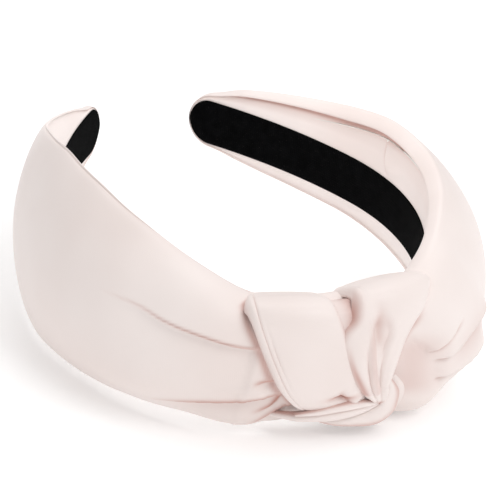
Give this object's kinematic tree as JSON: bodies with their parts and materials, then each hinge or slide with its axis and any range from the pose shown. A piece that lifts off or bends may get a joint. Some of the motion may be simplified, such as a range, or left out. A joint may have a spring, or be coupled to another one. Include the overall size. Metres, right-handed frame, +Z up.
{
  "type": "knotted headband",
  "caption": "Padded headband covered in pale blush satin, tied in a flat knot over the crown, on a springy plastic hoop lined with black ribbon; its arms spread and spring back.",
  "frame": {"origin": "centre of the bounding box's bottom face, where the headband lies on its lower edge", "axes": "+Z up and along the head's fore-and-aft line, -Y out over the knot at the crown, +Y towards the tips, +X to the side of the cross strand"},
  "size_m": [0.1354, 0.1648, 0.0581],
  "materials": {
    "satin": "smooth blush satin with a soft sheen",
    "ribbon": "matt black ribbon",
    "hoop_plastic": "hidden springy plastic",
    "padding": "hidden polyester wadding"
  },
  "bodies": {
    "crown": {"hoop_crown": "hoop_plastic", "lining_crown": "ribbon", "padding_crown": "padding", "satin_left_crown": "satin", "satin_right_crown": "satin", "knot_underwrap": "satin", "front_wrap": "satin", "cross_strand": "satin", "knot_gusset": "satin", "lower_tuck": "satin", "tuck_tail": "satin", "side_flap": "satin"},
    "left_arm": {"hoop_left_arm": "hoop_plastic", "lining_left_arm": "ribbon", "padding_left": "padding", "satin_left_arm": "satin"},
    "right_arm": {"hoop_right_arm": "hoop_plastic", "lining_right_arm": "ribbon", "padding_right": "padding", "satin_right_arm": "satin"}
  },
  "joints": [
    {"name": "left_flex", "type": "hinge", "parent": "crown", "child": "left_arm", "pos_m": [-0.0619, -0.0433, 0.0255], "axis": [0, 0, 1], "range_deg": [-2, 14], "stiffness_Nm_per_rad": 1.2},
    {"name": "right_flex", "type": "hinge", "parent": "crown", "child": "right_arm", "pos_m": [0.0605, -0.0433, 0.0255], "axis": [0, 0, -1], "range_deg": [-2, 14], "stiffness_Nm_per_rad": 1.2}
  ]
}
